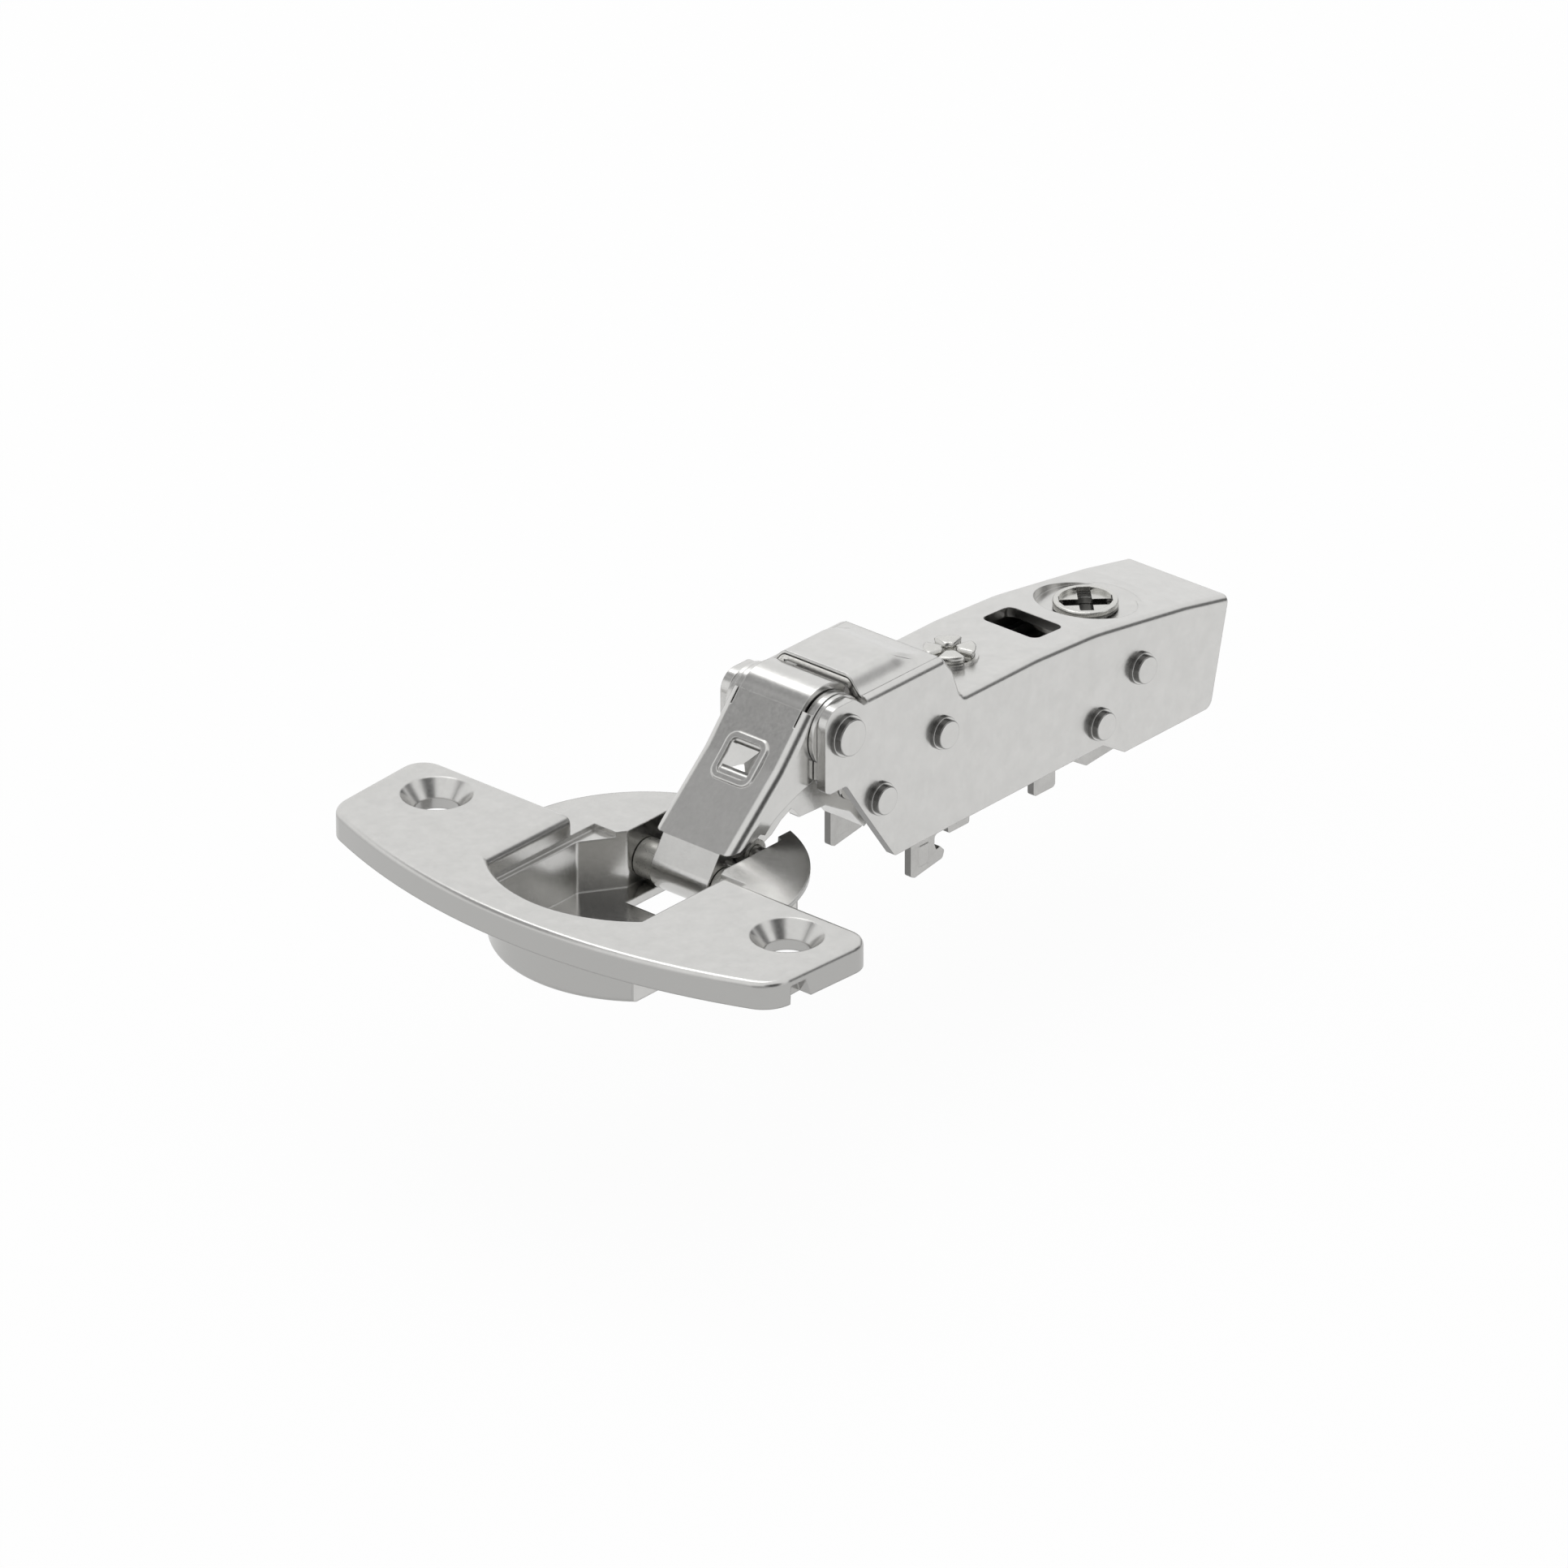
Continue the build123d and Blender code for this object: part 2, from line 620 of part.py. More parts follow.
def depth_slide_block():
    """Inner channel moved along the arm by the scroll through teeth on its web."""
    outer = [(slide_front, slide_web_top), (slide_rear, slide_web_top, 0.5), (slide_rear, -3.0, 1)]
    outer += [(slide_rear - 1.8, -8.3, 1), (slide_front, -8.3, 1)]
    block = centred_plate(outer, slide_half)
    block -= side_box(60, 90, slide_half - slide_gauge, -20, slide_web_top - slide_gauge)
    for index in range(2):
        x = depth_screw_x + (0.5 + index) * scroll_pitch + scroll_hub + scroll_ridge / 2
        block += Pos(x, 0, 1.4) * Box(0.8, 1.6, 1.3)
    block -= slot(rear_lower_at, slide_travel + 1.5 + 0.3, 1.5 + 0.15, -9, 9)
    return block - cross_rod(tilt_pin_at, tilt_pin_radius, -9, 9)


def tilt_pin():
    return cross_rod(tilt_pin_at, tilt_pin_radius, -rail_half, rail_half)


def rail_flank():
    """Flank with hooks for the mounting plate, in side view."""
    front = [(37.9, -3.4, 1.0), (37.9, -13.2, 0.5), (38.6, -13.5), (43.4, -12.8, 0.5), (43.7, -11.9, 0.3)]
    front += [(43.0, -11.2), (42.3, -11.35), (42.0, -10.6), (42.0, -9.4, 0.5), (44.3, -9.2, 0.3)]
    front += [(44.4, -10.1, 0.3), (48.0, -10.1, 0.3), (48.2, -7.7)]
    hook = [(59.3, -7.7, 0.4), (59.3, -11.2, 0.5), (63.1, -11.2, 0.5), (63.1, -8.6, 0.4), (64.6, -8.3)]
    rear = [(68.6, -10.7, 0.6), (arm_step, -10.3), (rail_rear - 1.4, -10.0, 1.0), (rail_rear, -7.5, 1.0)]
    rear += [(rail_rear, -2.0, 1.0)]
    top = [(84.5, 1.4), (78.0, 2.2), (69.0, 2.4), (rail_web_rear + 0.8, rail_web_top)]
    top += [(rail_web_front, rail_web_top, 1.0), (43.6, -1.2, 1.0)]
    return front + hook + rear + top


def base_rail():
    """Inner channel that clips on the mounting plate; flanks with hooks, web with a keyhole slot."""
    rail = plate_pair(rail_flank(), rail_half - rail_gauge, rail_half)
    web = side_box(rail_web_front, rail_web_rear, rail_half, rail_web_top - rail_gauge, rail_web_top)
    web = fillet(web.edges().filter_by(Axis.X).filter_by(lambda e: e.center().Z > rail_web_top - 0.1), 0.8)
    rail_block = rail & side_box(30, 100, rail_half, -20, rail_web_top - rail_gauge)
    rail = rail_block + web
    rail -= plan_plate([(48.2, -1.5), (55.8, -1.5), (55.8, 1.5), (48.2, 1.5)], 2, 5)
    rail -= upright_rod(57.4, 0, 2.5, 2, 5)
    rail -= slot(rear_lower_at, slide_travel + 1.5 + 0.5, 2.3, -9, 9)
    rail -= slot(rear_upper_at, slide_travel + 1.3 + 0.5, 1.75, -9, 9)
    slit = [(39.3, -9.9), (39.6, -9.9), (39.6, -12.1), (40.9, -12.1), (40.9, -12.4), (39.3, -12.4)]
    rail -= centred_plate(slit, 9)
    rail -= cross_rod(tilt_pin_at, tilt_pin_radius + running_clearance, -9, 9)
    return rail - cross_rod(latch_pin_at, latch_pin_radius, -9, 9)


def latch_pin():
    return cross_rod(latch_pin_at, latch_pin_radius, -rail_half, rail_half)


def clip_latch():
    """Rear lever that snaps under the mounting plate and is pressed to let go."""
    x, z = latch_pin_at
    corners = [(x - 1.9, z + 1.9, 0.8), (x + 3.4, z + 2.2, 0.8), (x + 3.4, z - 3.6, 0.8), (x - 0.4, -10.0, 0.6)]
    corners += [(76.6, -10.1, 0.4), (76.6, -9.4, 0.2), (78.2, -8.95), (x - 1.4, -8.9, 0.5)]
    lever = centred_plate(corners, latch_half)
    room = [(70, -8.95), (x - 0.6, -8.95, 0.6), (x + 2.4, z - 3.4, 0.8), (x + 2.4, z + 4), (70, z + 4)]
    lever -= centred_plate(room, latch_half - 1.0)
    return lever - cross_rod(latch_pin_at, latch_pin_radius + running_clearance, -9, 9)


def latch_spring():
    """Small torsion spring on the latch pin."""
    radius = latch_pin_radius + 0.6
    coil = Helix(pitch=1.0, height=4.0, radius=radius)
    section = Plane(origin=coil @ 0, z_dir=coil % 0) * Circle(0.3)
    wound = sweep(section, path=coil)
    return Pos(latch_pin_at[0], 2.0, latch_pin_at[1]) * Rot(90, 0, 0) * wound


def all_parts():
    stub_inner = inner_half + 0.3
    link_inner = eye_half + face_clearance
    spacer_outer = cavity_rear_half - face_clearance
    narrow_inner = inner_half + face_clearance
    narrow_outer = link_half - ear_gauge - 2 * face_clearance
    return {
        "cup": cup(),
        "outer_link_cup_pin": outer_link_cup_pin(),
        "inner_link_cup_pin": inner_link_cup_pin(),
        "outer_spacer_far": spacer(outer_cup_pivot, cup_pin_radius, 0.8, link_inner, spacer_outer, 1),
        "outer_spacer_near": spacer(outer_cup_pivot, cup_pin_radius, 0.8, link_inner, spacer_outer, -1),
        "inner_spacer_far": spacer(inner_cup_pivot, inner_pin_radius, 0.6, narrow_inner, narrow_outer, 1),
        "inner_spacer_near": spacer(inner_cup_pivot, inner_pin_radius, 0.6, narrow_inner, narrow_outer, -1),
        "outer_link": outer_link(),
        "knuckle_bush": knuckle_bush(),
        "inner_link": inner_link(),
        "arm_body": arm_body(),
        "cheek_far": cheek(1),
        "cheek_near": cheek(-1),
        "link_axle": through_rivet(outer_arm_pivot, axle_radius, 2.6),
        "inner_link_rivet_far": short_rivet(inner_arm_pivot, stub_radius, 2.1, stub_inner, 1),
        "inner_link_rivet_near": short_rivet(inner_arm_pivot, stub_radius, 2.1, stub_inner, -1),
        "spring_rivet": through_rivet(spring_rivet_at, 1.4, 2.1),
        "rear_upper_rivet_far": short_rivet(rear_upper_at, 1.3, 2.0, slide_half + face_clearance, 1),
        "rear_upper_rivet_near": short_rivet(rear_upper_at, 1.3, 2.0, slide_half + face_clearance, -1),
        "rear_lower_rivet": through_rivet(rear_lower_at, 1.5, 2.0),
        "closing_spring": closing_spring(),
        "side_screw_nut": side_screw_nut(),
        "side_adjust_screw": side_adjust_screw(),
        "depth_screw_washer": depth_screw_washer(),
        "depth_adjust_screw": depth_adjust_screw(),
        "depth_slide_block": depth_slide_block(),
        "tilt_pin": tilt_pin(),
        "base_rail": base_rail(),
        "latch_pin": latch_pin(),
        "latch_spring": latch_spring(),
        "clip_latch": clip_latch(),
    }


for node, solid in all_parts().items():
    export_step(solid, "parts/" + node + ".step")
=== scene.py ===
import bpy
import json
import math
import numpy as np
from mathutils import Matrix, Vector


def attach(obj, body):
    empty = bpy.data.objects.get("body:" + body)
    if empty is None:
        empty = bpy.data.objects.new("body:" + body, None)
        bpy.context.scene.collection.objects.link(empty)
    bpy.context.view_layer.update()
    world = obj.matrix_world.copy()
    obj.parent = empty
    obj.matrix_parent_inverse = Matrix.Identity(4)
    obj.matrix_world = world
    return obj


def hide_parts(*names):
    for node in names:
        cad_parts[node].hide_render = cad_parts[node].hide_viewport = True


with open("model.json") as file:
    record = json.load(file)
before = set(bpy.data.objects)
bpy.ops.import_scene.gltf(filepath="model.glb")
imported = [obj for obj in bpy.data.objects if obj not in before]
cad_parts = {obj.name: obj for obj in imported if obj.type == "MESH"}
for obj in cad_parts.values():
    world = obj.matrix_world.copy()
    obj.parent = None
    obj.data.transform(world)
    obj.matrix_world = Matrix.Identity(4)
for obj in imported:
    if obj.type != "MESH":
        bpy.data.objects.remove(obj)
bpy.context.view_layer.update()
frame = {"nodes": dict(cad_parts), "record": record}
print("stage: frame loaded")


# small helpers for node trees
def addNode(tree, kind, values=None, **settings):
    node = tree.nodes.new(kind)
    for name, value in settings.items():
        setattr(node, name, value)
    for name, value in (values or {}).items():
        node.inputs[name].default_value = value
    return node


def rampOf(tree, source, stops):
    ramp = tree.nodes.new("ShaderNodeValToRGB")
    while len(ramp.color_ramp.elements) < len(stops):
        ramp.color_ramp.elements.new(0.5)
    for element, (place, level) in zip(ramp.color_ramp.elements, stops):
        element.position = place
        element.color = (level, level, level, 1) if isinstance(level, float) else (*level, 1)
    tree.links.new(source, ramp.inputs["Fac"])
    return ramp.outputs["Color"]


def addNoise(tree, vector, scale, detail=3.0, rough=0.55):
    noise = addNode(tree, "ShaderNodeTexNoise", {"Scale": scale, "Detail": detail, "Roughness": rough})
    tree.links.new(vector, noise.inputs["Vector"])
    return noise.outputs["Fac"]


def stretched(tree, coordinates, scale):
    mapping = addNode(tree, "ShaderNodeMapping", {"Scale": scale})
    tree.links.new(coordinates, mapping.inputs["Vector"])
    return mapping.outputs["Vector"]


# tone: metal colour, mottle: its cloudiness, rough: low and high gloss, edge: radius of the softened edges,
# grain: stretch of the rolling lines, lines and speckle: bump heights, edgeShade: darker punched edges, part
# their own tone and part painted shade,
# edgeShadeLookUp: how far they may look up, wall: painted shade on outer walls further than wallShadeReach
# from the cup axis,
# recessShade: painted shade inside the cross recess, paintedRimShade: painted shade on the rivets' sides and
# rims; lengths in metres
finishes = {
    "castNickel": {"tone": (0.64, 0.635, 0.62), "mottle": 0.04, "rough": (0.17, 0.22), "metallic": 1.0,
                   "grain": (900, 900, 900), "lines": 0.0, "speckle": 0.0000014, "edge": 0.0003,
                   "wall": 0.72, "wallShadeReach": 0.0172},
    "sheetNickel": {"tone": (0.67, 0.665, 0.65), "mottle": 0.035, "rough": (0.22, 0.27), "metallic": 1.0,
                    "grain": (60, 1500, 2600), "lines": 0.0000012, "speckle": 0.0000018, "edge": 0.00018,
                    "edgeShade": 0.35, "edgeShadeLookUp": -0.35},
    "linkNickel": {"tone": (0.66, 0.655, 0.64), "mottle": 0.03, "rough": (0.17, 0.24), "metallic": 1.0,
                   "grain": (300, 2400, 300), "lines": 0.000001, "speckle": 0.000002, "edge": 0.0002},
    "rivetNickel": {"tone": (0.66, 0.655, 0.64), "mottle": 0.03, "rough": (0.18, 0.26), "metallic": 1.0,
                    "grain": (900, 900, 900), "lines": 0.0, "speckle": 0.0000015, "edge": 0.0,
                    "paintedRimShade": 0.22},
    "screwNickel": {"tone": (0.66, 0.655, 0.63), "mottle": 0.04, "rough": (0.2, 0.3), "metallic": 1.0,
                    "grain": (900, 900, 900), "lines": 0.0, "speckle": 0.000003, "edge": 0.00012,
                    "recessShade": 0.3},
    "railNickel": {"tone": (0.55, 0.545, 0.53), "mottle": 0.06, "rough": (0.28, 0.4), "metallic": 1.0,
                   "grain": (60, 1500, 2600), "lines": 0.0000015, "speckle": 0.000004, "edge": 0.00012,
                   "edgeShade": 0.4, "edgeShadeLookUp": 0.3},
    "springSteel": {"tone": (0.30, 0.29, 0.28), "mottle": 0.08, "rough": (0.28, 0.4), "metallic": 1.0,
                    "grain": (900, 900, 900), "lines": 0.0, "speckle": 0.000004, "edge": 0.0},
    "guidePlastic": {"tone": (0.40, 0.395, 0.37), "mottle": 0.04, "rough": (0.25, 0.35), "metallic": 0.6,
                     "grain": (900, 900, 900), "lines": 0.0, "speckle": 0.000004, "edge": 0.0001},
}
# noise of the metal: scale, detail and roughness of each layer, and the band over which its tones change
texture = {"cloud": (420.0, 6.0, 0.75), "cloudBand": (0.35, 0.65), "gloss": (2400.0, 3.0, 0.6),
           "glossBand": (0.3, 0.7), "speckle": (3500.0, 2.0), "lines": (1.0, 2.0), "edgeSamples": 4}


# mask of a sheet's darker punched edges, part their own tone and part painted shade: faces that look neither
# sideways nor up
def punchedEdgeShade(tree, lookUp):
    facing = addNode(tree, "ShaderNodeSeparateXYZ")
    tree.links.new(addNode(tree, "ShaderNodeTexCoord").outputs["Normal"], facing.inputs["Vector"])
    side = addNode(tree, "ShaderNodeMath", operation="ABSOLUTE")
    tree.links.new(facing.outputs["Y"], side.inputs[0])
    lookAside, fade = 0.3, 0.25
    masks = []
    for source, low in ((side.outputs[0], lookAside), (facing.outputs["Z"], lookUp)):
        mask = addNode(tree, "ShaderNodeMapRange", {"From Min": low, "From Max": low + fade, "To Min": 1.0,
                                                    "To Max": 0.0})
        tree.links.new(source, mask.inputs["Value"])
        masks.append(mask.outputs["Result"])
    both = addNode(tree, "ShaderNodeMath", operation="MULTIPLY")
    tree.links.new(masks[0], both.inputs[0])
    tree.links.new(masks[1], both.inputs[1])
    return both.outputs[0]


# mask of painted shade on the casting's outer side walls: faces that don't look up, further from the cup axis
# than reach
def outerWallShade(tree, reach):
    where = addNode(tree, "ShaderNodeTexCoord")
    facing = addNode(tree, "ShaderNodeSeparateXYZ")
    tree.links.new(where.outputs["Normal"], facing.inputs["Vector"])
    flat = addNode(tree, "ShaderNodeVectorMath", operation="MULTIPLY")
    flat.inputs[1].default_value = (1, 1, 0)
    tree.links.new(where.outputs["Object"], flat.inputs[0])
    away = addNode(tree, "ShaderNodeVectorMath", operation="LENGTH")
    tree.links.new(flat.outputs["Vector"], away.inputs[0])
    upright, level = 0.25, 0.6
    steep = addNode(tree, "ShaderNodeMapRange", {"From Min": upright, "From Max": level, "To Min": 1.0,
                                                 "To Max": 0.0})
    tree.links.new(facing.outputs["Z"], steep.inputs["Value"])
    outside = addNode(tree, "ShaderNodeMath", operation="GREATER_THAN")
    tree.links.new(away.outputs["Value"], outside.inputs[0])
    outside.inputs[1].default_value = reach
    both = addNode(tree, "ShaderNodeMath", operation="MULTIPLY")
    tree.links.new(steep.outputs["Result"], both.inputs[0])
    tree.links.new(outside.outputs[0], both.inputs[1])
    return both.outputs[0]


# the cross recess of the depth screw, metres: its middle along the arm, its reach and the height of its rim
crossRecess = {"x": 0.0759, "reach": 0.0031, "rim": 0.00525}


# mask of painted shade on what lies deeper than the rim of that recess
def recessShadeMask(tree):
    place = addNode(tree, "ShaderNodeSeparateXYZ")
    tree.links.new(addNode(tree, "ShaderNodeTexCoord").outputs["Object"], place.inputs["Vector"])
    near = addNode(tree, "ShaderNodeMath", operation="COMPARE")
    tree.links.new(place.outputs["X"], near.inputs[0])
    near.inputs[1].default_value = crossRecess["x"]
    near.inputs[2].default_value = crossRecess["reach"]
    below = addNode(tree, "ShaderNodeMath", operation="LESS_THAN")
    tree.links.new(place.outputs["Z"], below.inputs[0])
    below.inputs[1].default_value = crossRecess["rim"]
    both = addNode(tree, "ShaderNodeMath", operation="MULTIPLY")
    tree.links.new(near.outputs[0], both.inputs[0])
    tree.links.new(below.outputs[0], both.inputs[1])
    return both.outputs[0]


def makeFinish(name, look):
    material = bpy.data.materials.new(name)
    material.use_nodes = True
    tree = material.node_tree
    shader = tree.nodes["Principled BSDF"]
    shader.inputs["Metallic"].default_value = look["metallic"]
    where = addNode(tree, "ShaderNodeTexCoord").outputs["Object"]
    cloud = addNoise(tree, where, *texture["cloud"])
    low = tuple(c * (1 - look["mottle"]) for c in look["tone"])
    high = tuple(min(1.0, c * (1 + look["mottle"])) for c in look["tone"])
    tone = rampOf(tree, cloud, list(zip(texture["cloudBand"], (low, high))))
    masks = []
    # darker punched edges, part their own tone and part painted shade on faces turned from the light
    if look.get("edgeShade"):
        masks.append((punchedEdgeShade(tree, look["edgeShadeLookUp"]), look["edgeShade"]))
    # painted shade on the casting's outer side walls
    if look.get("wall"):
        masks.append((outerWallShade(tree, look["wallShadeReach"]), look["wall"]))
    # painted shade inside the cross recess of the depth screw
    if look.get("recessShade"):
        masks.append((recessShadeMask(tree), look["recessShade"]))
    # painted shade on the rivets' sides and rims, read from their point attribute
    if look.get("paintedRimShade"):
        paintedRimShade = addNode(tree, "ShaderNodeAttribute", attribute_name="paintedRimShade")
        masks.append((paintedRimShade.outputs["Fac"], look["paintedRimShade"]))
    for mask, share in masks:
        shade = addNode(tree, "ShaderNodeMix", data_type="RGBA")
        tree.links.new(mask, shade.inputs["Factor"])
        tree.links.new(tone, shade.inputs["A"])
        shade.inputs["B"].default_value = (*(c * share for c in look["tone"]), 1)
        tone = shade.outputs["Result"]
    tree.links.new(tone, shader.inputs["Base Color"])
    gloss = addNoise(tree, where, *texture["gloss"])
    rough = rampOf(tree, gloss, list(zip(texture["glossBand"], look["rough"])))
    tree.links.new(rough, shader.inputs["Roughness"])
    outward = None
    if look["edge"]:
        soft = addNode(tree, "ShaderNodeBevel", {"Radius": look["edge"]}, samples=texture["edgeSamples"])
        outward = soft.outputs["Normal"]
    layers = [(addNoise(tree, where, *texture["speckle"]), look["speckle"])]
    if look["lines"]:
        rolled = addNoise(tree, stretched(tree, where, look["grain"]), *texture["lines"])
        layers.append((rolled, look["lines"]))
    for height, distance in layers:
        bump = addNode(tree, "ShaderNodeBump", {"Strength": 1.0, "Distance": distance})
        tree.links.new(height, bump.inputs["Height"])
        if outward:
            tree.links.new(outward, bump.inputs["Normal"])
        outward = bump.outputs["Normal"]
    tree.links.new(outward, shader.inputs["Normal"])
    return material


finish = {name: makeFinish(name, look) for name, look in finishes.items()}
finishOfSlot = {
    "cast_nickel": "castNickel", "sheet_nickel": "sheetNickel", "link_nickel": "linkNickel",
    "rail_nickel": "railNickel", "rivet_nickel": "rivetNickel", "screw_nickel": "screwNickel",
    "spring_steel": "springSteel", "guide_plastic": "guidePlastic",
}
bodyOf = {node: body for body, nodes in frame["record"]["behaviour"]["bodies"].items() for node in nodes}
for part in frame["record"]["subparts"]:
    node = frame["nodes"][part["node"]]
    node.data.materials.clear()
    node.data.materials.append(finish[finishOfSlot[part["material_slot"]]])
print("stage: finishes on the metal parts")


def smooth(amount):
    amount = np.clip(amount, 0.0, 1.0)
    return amount * amount * (3.0 - 2.0 * amount)


# signed volume by fans of triangles: below nought where the faces of a closed mesh look inwards
def signedVolume(points, faces):
    total = 0.0
    for face in faces:
        corner = points[face[0]]
        for second, third in zip(face[1:-1], face[2:]):
            total += float(np.dot(corner, np.cross(points[second], points[third])))
    return total


def addPiece(name, body, points, faces, look):
    if signedVolume(points - points.mean(axis=0), faces) < 0:
        faces = [face[::-1] for face in faces]
    mesh = bpy.data.meshes.new(name)
    mesh.from_pydata(points.tolist(), [], faces)
    mesh.validate()
    mesh.shade_smooth()
    piece = bpy.data.objects.new(name, mesh)
    bpy.context.scene.collection.objects.link(piece)
    mesh.materials.append(finish[look])
    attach(piece, body)
    return piece


# faces of a closed slab: an upper grid, a lower grid and the four side walls, all outwards
def blockFaces(rows, columns):
    count = rows * columns
    number = np.arange(count).reshape(rows, columns)
    a, b, c, d = number[:-1, :-1], number[1:, :-1], number[1:, 1:], number[:-1, 1:]
    upper = np.stack([a, b, c, d], axis=-1).reshape(-1, 4)
    lower = upper[:, ::-1] + count
    rim = np.concatenate([number[:, 0], number[-1, 1:], number[-2::-1, -1], number[0, -2::-1]])
    start, end = rim[:-1], rim[1:]
    walls = np.stack([start + count, end + count, end, start], axis=-1)
    return np.concatenate([upper, lower, walls]).tolist()


# hood hump, millimetres: front and rear of the sheet, where its rear slope starts, its half width,
# where the side slopes start, its foot and its rise
hood = {"front": 28.985, "slopeStart": 35.6, "rear": 42.0, "slopeEnd": 42.2, "half": 6.85, "footHalf": 6.9,
        "crestHalf": 4.5, "foot": 13.23, "rise": 1.9, "deep": 0.5, "rows": 90, "columns": 96}


# height over the foot = rise * smooth((slopeEnd - x) / (slopeEnd - slopeStart))
# * smooth((footHalf - |y|) / (footHalf - crestHalf))
def makeHoodHump():
    x = np.linspace(hood["front"], hood["rear"], hood["rows"])
    y = np.linspace(-hood["half"], hood["half"], hood["columns"])
    gridX, gridY = np.meshgrid(x, y, indexing="ij")
    along = smooth((hood["slopeEnd"] - gridX) / (hood["slopeEnd"] - hood["slopeStart"]))
    across = smooth((hood["footHalf"] - np.abs(gridY)) / (hood["footHalf"] - hood["crestHalf"]))
    top = hood["foot"] + hood["rise"] * along * across
    upper = np.stack([gridX, gridY, top], axis=-1).reshape(-1, 3)
    lower = np.stack([gridX, gridY, top - hood["deep"]], axis=-1).reshape(-1, 3)
    points = np.concatenate([upper, lower]) / 1000
    addPiece("hood_hump", "arm", points, blockFaces(hood["rows"], hood["columns"]), "sheetNickel")


# at: axle in x and z, ring and crown: radii of the head's two steps, inner: where the shank starts,
# sides: which ends carry a head; millimetres
rivets = {
    "link_axle": {"at": (25.2, 10.0), "shank": 1.6, "ring": 2.5, "crown": 2.18, "inner": 0.0,
                  "sides": (1, -1)},
    "spring_rivet": {"at": (41.7, 4.15), "shank": 1.4, "ring": 1.98, "crown": 1.7, "inner": 0.0,
                     "sides": (1, -1)},
    "rear_lower_rivet": {"at": (69.3, -5.2), "shank": 1.5, "ring": 1.95, "crown": 1.68, "inner": 0.0,
                         "sides": (1, -1)},
    "inner_link_rivet_far": {"at": (31.1, -0.1), "shank": 1.5, "ring": 1.98, "crown": 1.7, "inner": 3.29,
                             "sides": (1,)},
    "inner_link_rivet_near": {"at": (31.1, -0.1), "shank": 1.5, "ring": 1.98, "crown": 1.7, "inner": 3.29,
                              "sides": (-1,)},
    "rear_upper_rivet_far": {"at": (76.5, -0.7), "shank": 1.3, "ring": 1.95, "crown": 1.68, "inner": 5.45,
                             "sides": (1,)},
    "rear_upper_rivet_near": {"at": (76.5, -0.7), "shank": 1.3, "ring": 1.95, "crown": 1.68, "inner": 5.45,
                              "sides": (-1,)},
}
# wall: the arm's outer face, step and rise: heights of ring and crown over it, hold: gap of the close points,
# arcSteps and turns: points round a corner and round the axle, the darks: painted shade on each rounded rim
rivetHead = {"wall": 7.8, "step": 0.42, "rise": 1.12, "ringRound": 0.1, "crownRound": 0.16, "hold": 0.012,
             "arcSteps": 6, "turns": 80, "ringDark": 0.9, "crownDark": 0.95, "stepDark": 0.2}


# outer corner of a profile rounded by a quarter circle, with a close point either side to keep the flats
# flat; dark: painted shade fading over the arc
def roundCorner(place, radius, size, hold, dark):
    angle = np.radians(np.linspace(0, 90, rivetHead["arcSteps"]))
    arc = [(place - size + size * math.sin(a), radius - size + size * math.cos(a), dark * math.cos(a))
           for a in angle]
    return [(place - size - hold, radius, dark)] + arc + [(place, radius - size - hold, 0.0)]


# profile as (distance along the axle, radius, painted shade), from the middle of the rivet outwards
def rivetProfile(rivet):
    head = rivetHead
    wall, hold, inner = head["wall"], head["hold"], rivet["inner"]
    step, rise = wall + head["step"], wall + head["rise"]
    shank, ring, crown = rivet["shank"], rivet["ring"], rivet["crown"]
    profile = [(inner, 0.0, 0.0), (inner, shank - hold, 0.0), (inner, shank, 0.0), (inner + hold, shank, 0.0),
               (wall - hold, shank, 1.0), (wall, shank, 1.0), (wall, shank + hold, 1.0),
               (wall, ring - hold, 1.0), (wall, ring, 1.0), (wall + hold, ring, 1.0)]
    profile += roundCorner(step, ring, head["ringRound"], hold, head["ringDark"])
    profile += [(step, crown + hold, head["stepDark"]), (step, crown, 1.0), (step + hold, crown, 1.0)]
    profile += roundCorner(rise, crown, head["crownRound"], hold, head["crownDark"])
    return profile + [(rise, 0.0, 0.0)]


